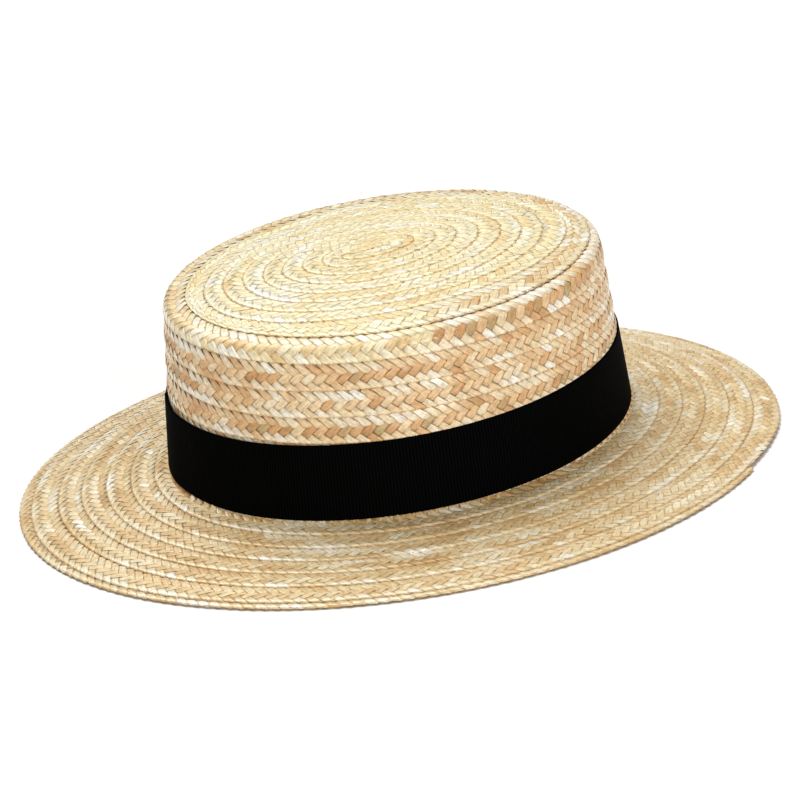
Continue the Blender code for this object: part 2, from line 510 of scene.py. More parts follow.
@dataclass
class HatForm:
    """The hat's meridian, swept round an oval, as in the CAD solids.

    The meridian leaves the middle of the tip as a shallow dome, turns through a
    softer edge and a tight corner, runs down the tapered side and out along the
    brim. Distances are measured along it. On the tip the rows wind round a point
    beside the middle, round a short line that grows longer row by row.
    """

    base_length: float = 207.1
    base_width: float = 168.8
    shoulder_height: float = 76.2
    side_taper: float = math.radians(4.8)
    dome_turn: float = math.radians(6.0)
    edge_radius: float = 100.0
    edge_turn: float = math.radians(15.0)
    corner_radius: float = 5.0
    brim_width: float = 66.8
    brim_drop: float = 13.5
    brim_gap: float = 0.3
    rim_thickness: float = 2.6
    lean_to_side: float = math.radians(3.36)
    lean_to_end: float = math.radians(0.78)
    swirl_shift: tuple[float, float] = (-1.0, 6.2)
    swirl_centred: float = 66.0
    swirl_half_line: float = 6.8
    swirl_line_growth: float = 0.3145
    swirl_end: float = 57.8
    corner_line: float = 71.74
    foot_shift: tuple[float, float] = (1.1, -2.4)
    rim_shift: tuple[float, float] = (1.3, 1.5)
    tip_samples: int = 1200
    smallest_oval: float = 0.001
    halvings: int = 26

    def __post_init__(self) -> None:
        """Work out the arcs of the meridian, from the corner back to the dome."""
        self.half_line = (self.base_length - self.base_width) / 2
        self.base_out = self.base_width / 2
        corner_turn = math.pi / 2 - self.side_taper
        corner_up = self.shoulder_height - self.corner_radius * math.cos(self.edge_turn)
        side_up = corner_up + self.corner_radius * math.cos(corner_turn)
        side_out = self.base_out - side_up * math.tan(self.side_taper)
        corner_out = side_out - self.corner_radius * math.sin(corner_turn)
        inward = self.edge_radius - self.corner_radius
        edge_out = corner_out - inward * math.sin(self.edge_turn)
        edge_up = self.shoulder_height - self.edge_radius * math.cos(self.edge_turn)
        dome_radius = self.edge_radius + edge_out / math.sin(self.dome_turn)
        dome_up = edge_up - edge_out / math.tan(self.dome_turn)
        self.turns = np.array([0.0, self.dome_turn, self.edge_turn, corner_turn])
        self.radii = np.array([dome_radius, self.edge_radius, self.corner_radius])
        self.centres = np.array([[0.0, dome_up], [edge_out, edge_up], [corner_out, corner_up]])
        self.arc_ends = np.concatenate([[0.0], np.cumsum(self.radii * np.diff(self.turns))])
        self.crown_end = self.arc_ends[-1] + side_up / math.cos(self.side_taper)
        self.rim = self.crown_end + self.brim_width
        tip = self.meridian(np.linspace(0.0, self.arc_ends[-1], self.tip_samples))
        self.tip_outs, self.tip_ups = tip[0], tip[1]
        rim_normal = Vector((math.tan(self.lean_to_end), math.tan(self.lean_to_side), 1.0))
        self.turn = rim_normal.rotation_difference(Vector((0.0, 0.0, 1.0))).to_matrix()
        rim_middle = Vector((0.0, 0.0, -self.brim_drop - self.rim_thickness))
        self.origin = -(self.turn @ rim_middle)

    def meridian(self, distance: np.ndarray) -> tuple[np.ndarray, np.ndarray, np.ndarray]:
        """Follow the crown's meridian.

        On each arc the normal turns evenly, and the point is the arc's centre
        plus its radius along the normal. Past the last arc the side runs straight.

        Args:
            distance: Distances from the middle of the tip.

        Returns:
            Distance out from the centre line, height, and the normal's turn.
        """
        turn = np.interp(distance, self.arc_ends, self.turns)
        arc = np.searchsorted(self.arc_ends, distance) - 1
        arc = np.clip(arc, 0, len(self.radii) - 1)
        out = self.centres[arc, 0] + self.radii[arc] * np.sin(turn)
        up = self.centres[arc, 1] + self.radii[arc] * np.cos(turn)
        down_side = np.maximum(0.0, distance - self.arc_ends[-1])
        out = out + down_side * math.sin(self.side_taper)
        up = up - down_side * math.cos(self.side_taper)
        return out, up, turn

    def out_at(self, along: np.ndarray, across: np.ndarray) -> np.ndarray:
        """Find which of the nested ovals passes through each point of the tip.

        The oval of distance d has half axes half_line + d and d, and it grows
        with d, so that halving a range again and again closes in on the answer.

        Args:
            along: x of each point.
            across: y of each point.

        Returns:
            The distance out of each point's oval.
        """
        low = np.full(along.shape, self.smallest_oval)
        high = np.full(along.shape, self.base_out)
        for _ in range(self.halvings):
            middle = (low + high) / 2
            outside = (along / (self.half_line + middle)) ** 2 + (across / middle) ** 2 > 1
            low = np.where(outside, middle, low)
            high = np.where(outside, high, middle)
        return (low + high) / 2

    def tip_points(
        self, distance: np.ndarray, angle: np.ndarray, lift: np.ndarray
    ) -> np.ndarray:
        """Place points on the tip, where the rows wind round a shifted middle.

        A row lies on an ellipse whose half axes are its distance, plus a half
        line that grows outwards. The shift fades away, and over the last row the
        half line comes back to that of the plain oval at the corner. The height
        is that of the CAD surface over the same spot.

        Args:
            distance: Distances from the middle of the swirl.
            angle: Angles round it.
            lift: Heights over the surface.

        Returns:
            Points in the crown's frame.
        """
        off_middle = np.clip(1 - distance / self.swirl_centred, 0.0, 1.0)
        line = self.swirl_half_line + self.swirl_line_growth * np.minimum(distance, self.swirl_end)
        fade = np.clip((distance - self.swirl_end) / (self.corner_line - self.swirl_end), 0, 1)
        line = line + (self.half_line - line) * smooth_step(fade)
        out, _, turn = self.meridian(distance)
        lifted = out + lift * np.sin(turn)
        along = self.swirl_shift[0] * off_middle + (line + lifted) * np.cos(angle)
        across = self.swirl_shift[1] * off_middle + lifted * np.sin(angle)
        under = self.out_at(along, across) - lift * np.sin(turn)
        up = np.interp(under, self.tip_outs, self.tip_ups) + lift * np.cos(turn)
        return np.stack([along, across, up], axis=-1)

    def rim_height(self, along: np.ndarray, across: np.ndarray) -> np.ndarray:
        """Height of the level rim, seen from the leaning crown, over x and y."""
        toward_end = along * math.tan(self.lean_to_end)
        return -self.brim_drop - toward_end - across * math.tan(self.lean_to_side)

    def brim_height(self, distance: np.ndarray, angle: np.ndarray) -> np.ndarray:
        """Slope the brim straight from the crown's foot to the level rim.

        Args:
            distance: Distances along the meridian.
            angle: Angles round the oval.

        Returns:
            Heights: the share of the way out times the rim's height, less a gap.
        """
        rim_out = self.base_out + self.brim_width
        share = np.maximum(0.0, distance - self.crown_end) / self.brim_width
        rim = self.rim_height((self.half_line + rim_out) * np.cos(angle), rim_out * np.sin(angle))
        return share * rim - self.brim_gap

    def points(self, distance: np.ndarray, angle: np.ndarray, lift: np.ndarray) -> np.ndarray:
        """Place points on the crown or the brim.

        The oval's half axes are half_line + out and out. The ovals of the crown's
        foot and of the rim are a little off the tip's middle, and the shift grows
        evenly from one to the next. Tip points inside the corner line come from
        tip_points instead.

        Args:
            distance: Distances along the meridian.
            angle: Angles round the oval.
            lift: Heights over the surface.

        Returns:
            Points in the crown's frame, with x, y and z last.
        """
        distance, angle, lift = np.broadcast_arrays(distance, angle, lift)
        distance = np.maximum(distance, 0.0)
        out, up, turn = self.meridian(distance)
        out = out + lift * np.sin(turn)
        up = up + lift * np.cos(turn)
        past = distance > self.crown_end
        out = np.where(past, self.base_out + distance - self.crown_end, out)
        up = np.where(past, self.brim_height(distance, angle) + lift, up)
        stations = (self.corner_line, self.crown_end, self.rim)
        shift = [
            np.interp(distance, stations, (0.0, foot, rim))
            for foot, rim in zip(self.foot_shift, self.rim_shift)
        ]
        along = (self.half_line + out) * np.cos(angle) + shift[0]
        across = out * np.sin(angle) + shift[1]
        placed = np.stack([along, across, up], axis=-1)
        on_tip = distance < self.corner_line
        if on_tip.any():
            placed[on_tip] = self.tip_points(distance[on_tip], angle[on_tip], lift[on_tip])
        return placed

    def to_frame(self, points: np.ndarray) -> np.ndarray:
        """Lean the crown's frame so that the rim is level, and turn it to metres."""
        leaned = points @ np.array(self.turn).T + np.array(self.origin)
        return leaned * METRE


@dataclass
class BraidCourse:
    """The course of a stretch of braid: a spiral of rows round the hat.

    It is told by the turns made from its start in the middle of the tip. The
    seam is the outer or lower edge of the row that the turns have reached. Each
    of the waves of its unevenness has a height, a pace and a start.
    """

    form: HatForm
    seam_turns: np.ndarray
    seam_distances: np.ndarray
    start: float
    end: float
    first_angle: float = math.radians(-205.0)
    steps_per_turn: int = 360
    unevenness: float = 0.35
    uneven_pace: float = 2.7
    waves: tuple[tuple[float, float, float], ...] = (
        (1.0, 1.0, 0.0), (0.7, 2.3, 1.1), (0.4, 5.1, 2.7),
    )

    def __post_init__(self) -> None:
        """Add up the braid's length along the middle of its row."""
        steps = int((self.end - self.start) * self.steps_per_turn)
        self.table_turns = np.linspace(self.start, self.end, steps)
        middle = self.seam(self.table_turns) - self.pitch(self.table_turns) / 2
        line = self.form.points(middle, self.angle(self.table_turns), np.zeros(steps))
        lengths = np.linalg.norm(np.diff(line, axis=0), axis=1)
        self.table_lengths = np.concatenate([[0.0], np.cumsum(lengths)])

    def angle(self, turns: np.ndarray) -> np.ndarray:
        """Angle round the hat after so many turns."""
        return self.first_angle + 2 * math.pi * turns

    def seam(self, turns: np.ndarray) -> np.ndarray:
        """Follow the seam: straight from one known crossing to the next, and uneven.

        Args:
            turns: Turns from the start of the braid.

        Returns:
            Distances of the row's seam, and zero before the braid's beginning.
        """
        known = np.interp(turns, self.seam_turns, self.seam_distances)
        uneven = known + self.unevenness * self.drift(turns, self.uneven_pace)
        return np.where(turns < 0, 0.0, np.minimum(uneven, self.seam_distances[-1]))

    def drift(self, turns: np.ndarray, pace: float) -> np.ndarray:
        """Follow the unevenness of hand sewing: sine waves of unlike pace, added up.

        Args:
            turns: Turns from the start of the braid.
            pace: Waves to a turn of the slowest one.

        Returns:
            Values from minus one to one.
        """
        phase = 2 * math.pi * pace * turns
        added = sum(height * np.sin(rate * phase + start) for height, rate, start in self.waves)
        return added / sum(height for height, _, _ in self.waves)

    def pitch(self, turns: np.ndarray) -> np.ndarray:
        """Width of the row that shows: from the seam a turn before to its own."""
        return self.seam(turns) - self.seam(turns - 1)

    def turns_at(self, length: np.ndarray) -> np.ndarray:
        """Turns made after so much braid."""
        return np.interp(length, self.table_lengths, self.table_turns)

    def length_at(self, turns: float) -> float:
        """Length of braid used after so many turns."""
        return float(np.interp(turns, self.table_turns, self.table_lengths))


@dataclass(frozen=True)
class StrawTones:
    """The straws' colours, from white through cream and tan to olive.

    Straws are split and damped by hand, so each one in the plait keeps its tone
    for some cycles, until the next length of straw is worked in, and takes a
    little of its neighbour's. A group of neighbours along the braid is paler or
    darker together. Where a straw dives under its neighbours, painted shade makes
    its colour the tone times a darker, warmer tint, and beside the seam painted
    shade takes it towards a brown.
    """

    stops: tuple[str, ...] = (
        "#FAF5E6", "#F3E8C8", "#EFDCB0", "#EACB9C", "#DDB47C", "#CDA164", "#BDA677",
    )
    # Painted shade beside the seams: the brown it goes towards, and how far.
    seam_shade_brown: str = "#8A5424"
    seam_shade_depth: float = 0.6
    # Painted shade where straws dive under their neighbours: a darker, warmer tint.
    dive_shade_tint: tuple[float, float, float] = (0.88, 0.75, 0.55)
    cycles_per_straw: float = 4.0
    own_share: float = 0.7
    mean: float = 0.42
    spread: float = 0.14
    piece_spread: float = 0.04
    group: float = 3.0
    group_spread: float = 0.15
    skin_shift: float = -0.08
    pith_shift: float = 0.18
    inside_shift: float = 0.1

    def draw(self, count: int, rng: np.random.Generator) -> np.ndarray:
        """Draw the tone of each numbered run of straw.

        Args:
            count: How many runs there are.
            rng: The seeded source of random numbers.

        Returns:
            Tones from zero, white, to one, olive.
        """
        cycles = count // STRAWS + 2
        fresh = rng.random((cycles, STRAWS)) < 1 / self.cycles_per_straw
        straw = np.cumsum(fresh, axis=0)
        tones = rng.normal(self.mean, self.spread, (cycles + 1, STRAWS))
        tones = self.own_share * tones + (1 - self.own_share) * np.roll(tones, 1, axis=1)
        return tones[straw, np.arange(STRAWS)].ravel()

    def colours(self, tones: np.ndarray) -> np.ndarray:
        """Turn tones into colours, blending evenly from each stop to the next.

        Args:
            tones: Tones from zero, the first stop, to one, the last.

        Returns:
            Linear colours, with red, green, blue and alpha last.
        """
        stops = np.array([linear_colour(stop) for stop in self.stops])
        places = np.linspace(0.0, 1.0, len(stops))
        channels = [np.interp(tones, places, stops[:, c]) for c in range(4)]
        return np.stack(channels, axis=-1)


@dataclass(frozen=True)
class StrawPaintedLight:
    """Where a straw takes painted shade, and a painted highlight at one end.

    It is darker and warmer where it dives and along its edges, paler at one end
    and darker at the other, and browner beside the seam and past the fold. Widths
    and reaches are in straws.
    """

    # Painted shade where the straw dives under its neighbours, and along its edges.
    dive_reach: float = 0.25
    dive_width: float = 0.4
    dive_share: float = 0.7
    edge_from: float = 0.36
    edge_width: float = 0.14
    edge_share: float = 0.4
    # Painted highlight at one end of each run, and painted shade at the other.
    sheen: float = 0.1
    # Painted shade beside the seam and past the fold, coming and going along the braid.
    seam_width: float = 0.14
    fold_lead: float = 0.045
    fold_width: float = 0.15
    seam_mean: float = 0.65
    seam_swing: float = 0.6
    seam_pace: float = 4.3
    seam_least: float = 0.1

    def dive_shade(self, u: np.ndarray, v: np.ndarray) -> np.ndarray:
        """Share of painted shade: most where the straw dives, less along its edges.

        Args:
            u: Places across the straw, from -0.5 to 0.5.
            v: Places along its run, from 0 to 2.

        Returns:
            The share of the darker, warmer colour of the painted shade.
        """
        diving = np.clip(1 - (np.minimum(v, 2 - v) + self.dive_reach) / self.dive_width, 0, 1)
        edge = np.clip((np.abs(u) - self.edge_from) / self.edge_width, 0, 1)
        return np.clip(self.dive_share * diving + self.edge_share * edge, 0, 1)

    def seam_shade(self, below_lap: np.ndarray, past_fold: np.ndarray) -> np.ndarray:
        """Share of painted shade by the seam: it fades from the lap and from the fold.

        Args:
            below_lap: Places below the edge of the row before.
            past_fold: Places past the plait's fold.

        Returns:
            The share of the painted shade.
        """
        beside_lap = np.clip(1 - below_lap / self.seam_width, 0, 1)
        return np.maximum(beside_lap, np.clip((past_fold + self.fold_lead) / self.fold_width, 0, 1))


@dataclass(frozen=True)
class Plait:
    """A flat plait of split straws, each going over two and under two.

    Places along it are counted in straws, along_pitch apart, and places across
    it from the edge that its neighbour laps over, across_pitch apart. The straws
    fold over at the edge that shows, where the plait curls round out of sight.
    Pitches, radii, heights and depths are in millimetres, and so are the plait's
    thickness, the widest row that needs no pulling and the width over which the
    rim settles. Places and the other widths are in straws.
    """

    along_pitch: float = 4.95
    across_pitch: float = 4.16
    shown_edge: float = 2.85
    widest_plain_row: float = 11.7
    fold_radius: float = 0.38
    fold_limit: float = 3.05
    base_lift: float = -0.5
    lap_rise: float = 0.28
    tuck_depth: float = 0.12
    tuck_width: float = 0.3
    tooth: float = 0.06
    tooth_place: float = 0.95
    ridge: float = 0.42
    ridge_skew: float = 1.5
    overlap: float = 0.3
    hollow_sides: float = 0.035
    pressed_edge: float = 0.35
    pressed_from: float = 2.0
    pressed_over: float = 0.8
    shingle: float = 0.1
    roll: float = 0.04
    wander: float = 0.03
    width_range: tuple[float, float] = (1.04, 1.14)
    slip: float = 0.02
    crumple: float = 0.07
    crumple_from: float = 2.3
    crumple_over: float = 0.4
    thickness: float = 1.15
    rim_settle: float = 0.6
    rim_settle_width: float = 14.0
    lap_hidden: float = 0.45
    outside_grid: tuple[tuple[float, ...], tuple[float, ...]] = (
        (-0.12, 0.15, 0.6, 1.0, 1.4, 1.85, 2.12), (-0.5, -0.3, 0.0, 0.3, 0.5),
    )
    inside_grid: tuple[tuple[float, ...], tuple[float, ...]] = (
        (-0.2, 0.4, 1.6, 2.2), (-0.5, 0.0, 0.5),
    )

    def straw_width(self) -> float:
        """Width of one straw, which is the plait's diagonal spacing."""
        return math.hypot(self.along_pitch, self.across_pitch) / 2

    def row_scale(self, course: BraidCourse, turns: np.ndarray) -> np.ndarray:
        """Spacing across the plait, which is pulled wider on the widest rows."""
        return self.across_pitch * np.maximum(1.0, course.pitch(turns) / self.widest_plain_row)

    def top_of_row(self, course: BraidCourse, turns: np.ndarray) -> np.ndarray:
        """Place across the plait where the row before it stops covering it."""
        return self.shown_edge - course.pitch(turns) / self.row_scale(course, turns)

    def lay(
        self,
        course: BraidCourse,
        along: np.ndarray,
        across: np.ndarray,
        height: np.ndarray,
        face: Face,
    ) -> np.ndarray:
        """Lay places of the plait on the hat.

        The strip tilts so that its shown edge stands over the next row. Past the
        fold the outside follows a small arc: reach grows with the arc's sine and
        lift falls with its cosine. Each straw's fold stands out as a small tooth.
        The inside is flat, a thickness lower.

        Args:
            course: The course that the braid takes.
            along: Places along the braid, in straws.
            across: Places across it.
            height: Heights over its face, in millimetres.
            face: Which face the points are on.

        Returns:
            Points in the crown's frame.
        """
        turns = course.turns_at(along * self.along_pitch)
        spacing = self.row_scale(course, turns)
        top = self.top_of_row(course, turns)
        tooth = self.tooth * np.cos(2 * math.pi * (along - self.tooth_place))
        fold = self.shown_edge - self.fold_radius / spacing + tooth
        flat = np.minimum(across, fold)
        tuck = np.clip(1 - (flat - top) / self.tuck_width, 0.0, 1.0)
        lift = self.base_lift + self.lap_rise * (flat - top) - self.tuck_depth * tuck
        if face is Face.OUTSIDE:
            arc = np.maximum(0.0, across - fold) * spacing / self.fold_radius
            reach = flat * spacing + (self.fold_radius + height) * np.sin(arc)
            lift = lift + (self.fold_radius + height) * np.cos(arc) - self.fold_radius
        else:
            reach = flat * spacing
            lift = lift - self.thickness - height
        distance = course.seam(turns) - self.shown_edge * spacing + reach
        from_rim = (course.form.rim - distance) / self.rim_settle_width
        lift = lift - self.rim_settle * np.clip(1.0 - from_rim, 0.0, 1.0)
        return course.form.points(distance, course.angle(turns), lift)

    def stretched(self, strand: Strand, v: np.ndarray) -> tuple[np.ndarray, np.ndarray]:
        """Stretch the runs that lap over a rising one.

        A run is two straws long. A falling one grows at its far end and a folding
        one at its near end, by the overlap.

        Args:
            strand: The run of the straw.
            v: Places along it, from 0 to 2.

        Returns:
            The new places, and how much of the run lies between each and the end
            that is further from the edge that shows.
        """
        stretch = 1 + self.overlap / 2
        run = 2 + self.overlap
        if strand is Strand.FALLING:
            return v * stretch, v * stretch / run
        if strand is Strand.FOLDING:
            v = np.where(v < 1, 1 + (v - 1) * stretch, v)
            return v, (v + self.overlap) / run
        return v, 1 - v / 2

    def shape(
        self, strand: Strand, face: Face, numbers: np.ndarray, rng: np.random.Generator
    ) -> tuple[np.ndarray, np.ndarray, np.ndarray, np.ndarray]:
        """Shape the pieces of straw of one kind.

        A piece is a grid: v runs along the straw from where it comes up to where
        it dives, and u across it. Its height is half a sine wave along v, whose
        crest is pushed towards the edge that shows, less a cube of u that bows its
        sides down. It leans along u, so that it laps over the next straw.

        Args:
            strand: The run of the straw.
            face: Which face of the plait it is on.
            numbers: The pieces' numbers along the braid.
            rng: The seeded source of random numbers.

        Returns:
            Places along and across the plait, heights, and (u, v) of each point.
        """
        grid = self.outside_grid if face is Face.OUTSIDE else self.inside_grid
        first_across, first_along, slope = strand.value
        count = len(numbers)
        v, u = np.meshgrid(*map(np.array, grid), indexing="ij")
        u = u[None] * rng.uniform(*self.width_range, (count, 1, 1))
        u = u + rng.normal(0.0, self.slip, (count, 1, 1))
        v = np.broadcast_to(v[None], (count, *v.shape))
        if strand is Strand.FOLDING:
            limit = 2 * (self.fold_limit - first_across) + u
            end = grid[0][-1]
            v = np.where(v > 1, 1 + (v - 1) * (limit - 1) / (end - 1), v)
        if face is Face.INSIDE:
            first_across, slope = first_across + slope, -slope
        v, phase = self.stretched(strand, v)
        across = first_across + slope * (v - u) / 2
        along = numbers[:, None, None] + first_along + (u + v) / 2
        ridge = self.ridge * np.sin(math.pi * np.sign(phase) * np.abs(phase) ** self.ridge_skew)
        near_edge = np.clip((across - self.pressed_from) / self.pressed_over, 0.0, 1.0)
        height = ridge * (1 - self.pressed_edge * near_edge)
        height = height - self.hollow_sides * np.abs(2 * u) ** 3
        height = height + (self.shingle + rng.normal(0.0, self.roll, (count, 1, 1))) * u
        height = height + rng.normal(0.0, self.wander, (count, 1, 1))
        crumpled = np.clip((across - self.crumple_from) / self.crumple_over, 0.0, 1.0)
        crumpled = crumpled * (face is Face.OUTSIDE)
        height = height + crumpled * rng.normal(0.0, self.crumple, v.shape)
        return along, across, height, np.stack([u, v], axis=-1)


@dataclass
class PlaitedStraw:
    """A stretch of sewn braid: its straws on both faces, and its core.

    The ribbon covers the outside between the two hidden distances, and a straw
    nearer than nearest would lie past the tip's middle or under the crown, so
    these are left out. The core's places are in straws and its depths in
    millimetres.
    """

    course: BraidCourse
    tones: StrawTones
    name: str
    first_turn: float
    last_turn: float
    nodes: tuple[str, ...]
    slot: str
    hidden: tuple[float, float] = (0.0, 0.0)
    nearest: float = -1.5
    plait: Plait = field(default_factory=Plait)
    painted_light: StrawPaintedLight = field(default_factory=StrawPaintedLight)
    seed: int = SEED
    pieces_to_spare: int = 4
    tones_to_spare: int = 20
    rising_delay: int = 6
    largest_uv_shift: float = 60.0
    skin_pith: float = 0.5
    core_lead: float = 0.5
    core_first_place: float = -0.2
    core_fold_gap: float = 0.09
    core_outside_depth: float = 0.12
    core_inside_depth: float = 0.95
    core_steps_per_turn: int = 220
    core_places: tuple[float, ...] = (0.0, 0.25, 0.5, 0.75, 1.0)

    def chosen(self, strand: Strand, face: Face) -> np.ndarray:
        """Pick the pieces of one kind that lie in this stretch and can be seen.

        Args:
            strand: The run of the straw.
            face: Which face of the plait it is on.

        Returns:
            Their numbers along the braid.
        """
        first_across, first_along, slope = strand.value
        pitch = self.plait.along_pitch
        start = self.course.length_at(self.first_turn) / pitch
        end = self.course.length_at(self.last_turn) / pitch
        spare = self.pieces_to_spare
        numbers = np.arange(math.floor(start) - spare, math.ceil(end) + spare)
        along = numbers + first_along + 0.5
        across = first_across + slope / 2
        turns = self.course.turns_at(along * pitch)
        spacing = self.plait.row_scale(self.course, turns)
        distance = self.course.seam(turns) - (self.plait.shown_edge - across) * spacing
        keep = (along >= start) & (along < end)
        keep &= across > self.plait.top_of_row(self.course, turns) - self.plait.lap_hidden
        keep &= distance > self.nearest
        if face is Face.OUTSIDE:
            keep &= (distance < self.hidden[0]) | (distance > self.hidden[1])
        return numbers[keep]

    def tone_pieces(
        self, strand: Strand, face: Face, numbers: np.ndarray, rng: np.random.Generator
    ) -> np.ndarray:
        """Give each piece its tone: its straw's, its own and its group's together.

        A rising run shows the duller back of the straw that fell some places
        before. The groups' tones blend into one another.

        Args:
            strand: The run of the straw.
            face: Which face of the plait it is on.
            numbers: The pieces' numbers along the braid.
            rng: The seeded source of random numbers.

        Returns:
            The tone of each piece.
        """
        rising = strand is Strand.RISING
        straw = numbers - self.rising_delay if rising else numbers
        count = int(numbers.max()) + self.tones_to_spare
        drawn = self.tones.draw(count, np.random.default_rng(self.seed))
        tone = drawn[np.maximum(straw, 0)]
        tone = tone + rng.normal(0.0, self.tones.piece_spread, len(numbers))
        places = numbers / self.tones.group
        knots = rng.normal(0.0, self.tones.group_spread, int(places.max()) + 2)
        tone = tone + np.interp(places, np.arange(len(knots)), knots)
        tone = tone + (self.tones.pith_shift if rising else self.tones.skin_shift)
        return tone + (self.tones.inside_shift if face is Face.INSIDE else 0.0)

    def seam_shade(self, along: np.ndarray, across: np.ndarray) -> np.ndarray:
        """Paint shade on the straw beside the lap and past the fold, unevenly along the braid.

        Args:
            along: Places along the plait.
            across: Places across the plait.

        Returns:
            The share of the painted shade at each place.
        """
        turns = self.course.turns_at(along * self.plait.along_pitch)
        below_lap = across - self.plait.top_of_row(self.course, turns)
        shade = self.painted_light.seam_shade(below_lap, across - self.plait.shown_edge)
        drift = self.course.drift(turns, self.painted_light.seam_pace)
        uneven = self.painted_light.seam_mean + self.painted_light.seam_swing * drift
        return shade * np.clip(uneven, self.painted_light.seam_least, 1.0)

    def colour_pieces(
        self, strand: Strand, face: Face, tone: np.ndarray, uv: np.ndarray,
        along: np.ndarray, across: np.ndarray,
    ) -> np.ndarray:
        """Colour the pieces of straw.

        Each piece takes painted shade, darker and warmer, where it dives under its
        neighbours, a painted highlight at one end and painted shade at the other, and
        brown painted shade beside the seam.

        Args:
            strand: The run of the straw.
            face: Which face of the plait it is on.
            tone: The tone of each piece.
            uv: (u, v) of each point.
            along: Places along the plait of each point.
            across: Places across the plait of each point.

        Returns:
            Linear colours of each point.
        """
        colours = self.tones.colours(tone)[:, None, None, :] * np.ones((*uv.shape[:3], 1))
        u, v = uv[..., 0], uv[..., 1]
        # Painted shade: darker and warmer where the straw dives and along its edges.
        dive_shade_share = self.painted_light.dive_shade(u, v)[..., None]
        dive_shaded = colours * np.array([*self.tones.dive_shade_tint, 1.0])
        colours = colours * (1 - dive_shade_share) + dive_shaded * dive_shade_share
        # Painted highlight towards one end of the run, and painted shade towards the other.
        toward_lit_end = 1 - v if strand is Strand.FALLING else v - 1
        colours = colours * (1 + self.painted_light.sheen * np.clip(toward_lit_end, -1, 1)[..., None])
        if face is Face.INSIDE:
            return colours
        # Painted shade: browner below the lap of the row before and past the fold.
        seam_shade_brown = np.array(linear_colour(self.tones.seam_shade_brown)) - colours
        return colours + seam_shade_brown * self.tones.seam_shade_depth * self.seam_shade(along, across)[..., None]

    def add_straws(
        self, parts: MeshParts, strand: Strand, face: Face, rng: np.random.Generator
    ) -> None:
        """Add the pieces of one kind on one face.

        Each piece is a grid of quads, closed underneath by one face.

        Args:
            parts: The mesh that they go into.
            strand: The run of the straw.
            face: Which face of the plait.
            rng: The seeded source of random numbers.
        """
        numbers = self.chosen(strand, face)
        if not len(numbers):
            return
        along, across, height, uv = self.plait.shape(strand, face, numbers, rng)
        points = self.plait.lay(self.course, along, across, height, face)
        first = parts.add_points(self.course.form.to_frame(points))
        count, rows, columns = along.shape
        index = first + np.arange(count * rows * columns).reshape(count, rows, columns)
        quads = np.stack(
            [index[:, :-1, :-1], index[:, :-1, 1:], index[:, 1:, 1:], index[:, 1:, :-1]], axis=-1
        )
        rim = np.concatenate(
            [index[:, 1:, 0], index[:, -1, 1:], index[:, -2::-1, -1], index[:, 0, -2::-1]], axis=1
        )
        if strand is not Strand.RISING:
            quads, rim = quads[..., ::-1], rim[..., ::-1]
        parts.add_faces(quads, True)
        parts.add_faces(rim, False)
        tone = self.tone_pieces(strand, face, numbers, rng)
        colours = self.colour_pieces(strand, face, tone, uv, along, across)
        parts.colours.append(colours.reshape(-1, 4))
        rising = strand is Strand.RISING
        pith = 1.0 if rising else rng.uniform(0.0, self.skin_pith, (count, 1, 1))
        parts.pith.append(np.broadcast_to(pith, along.shape).ravel())
        offset = rng.uniform(0.0, self.largest_uv_shift, (count, 1, 1, 2))
        parts.uv.append(((uv + offset) * self.plait.straw_width()).reshape(-1, 2))

    def add_core(self, parts: MeshParts) -> None:
        """Add the core: a closed flat section carried along the course. Its brown is
        painted shade in the gaps between the straws.

        Its outer line follows the plait's tilt a little under the straws, from
        where the row before covers it to its folded edge, and its inner line
        comes back under that.

        Args:
            parts: The mesh that it goes into.
        """
        turns = np.arange(self.first_turn, self.last_turn, 1 / self.core_steps_per_turn)
        along = np.array([self.course.length_at(t) for t in turns]) / self.plait.along_pitch
        top = self.plait.top_of_row(self.course, turns) - self.core_lead
        top = np.maximum(top, self.core_first_place)
        bottom = self.plait.shown_edge - self.core_fold_gap
        share = np.array(self.core_places)
        out_line = top[:, None] + (bottom - top)[:, None] * share
        across = np.concatenate([out_line, out_line[:, ::-1]], axis=1)
        depths = np.repeat([self.core_outside_depth, self.core_inside_depth], len(share))
        height = np.broadcast_to(-depths, across.shape)
        along = np.broadcast_to(along[:, None], across.shape)
        points = self.plait.lay(self.course, along, across, height, Face.OUTSIDE)
        parts.add_tube(self.course.form.to_frame(points))

    def build(self, straw: bpy.types.Material, core: bpy.types.Material) -> list[bpy.types.Object]:
        """Build and dress the straws and the core.

        Args:
            straw: The straws' finish.
            core: The core's finish.

        Returns:
            The pieces, riding on the hat in place of the CAD nodes.
        """
        rng = np.random.default_rng(self.seed + len(self.name))
        pieces = []
        for face in Face:
            parts = MeshParts()
            for strand in Strand:
                self.add_straws(parts, strand, face, rng)
            name = f"{self.name}_straws_{face.value}"
            pieces.append(parts.build(name, straw, "straw_mm"))
        parts = MeshParts()
        self.add_core(parts)
        pieces.append(parts.build(f"{self.name}_core", core))
        for piece in pieces:
            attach(piece, "root")
            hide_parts(*self.nodes)
        return pieces


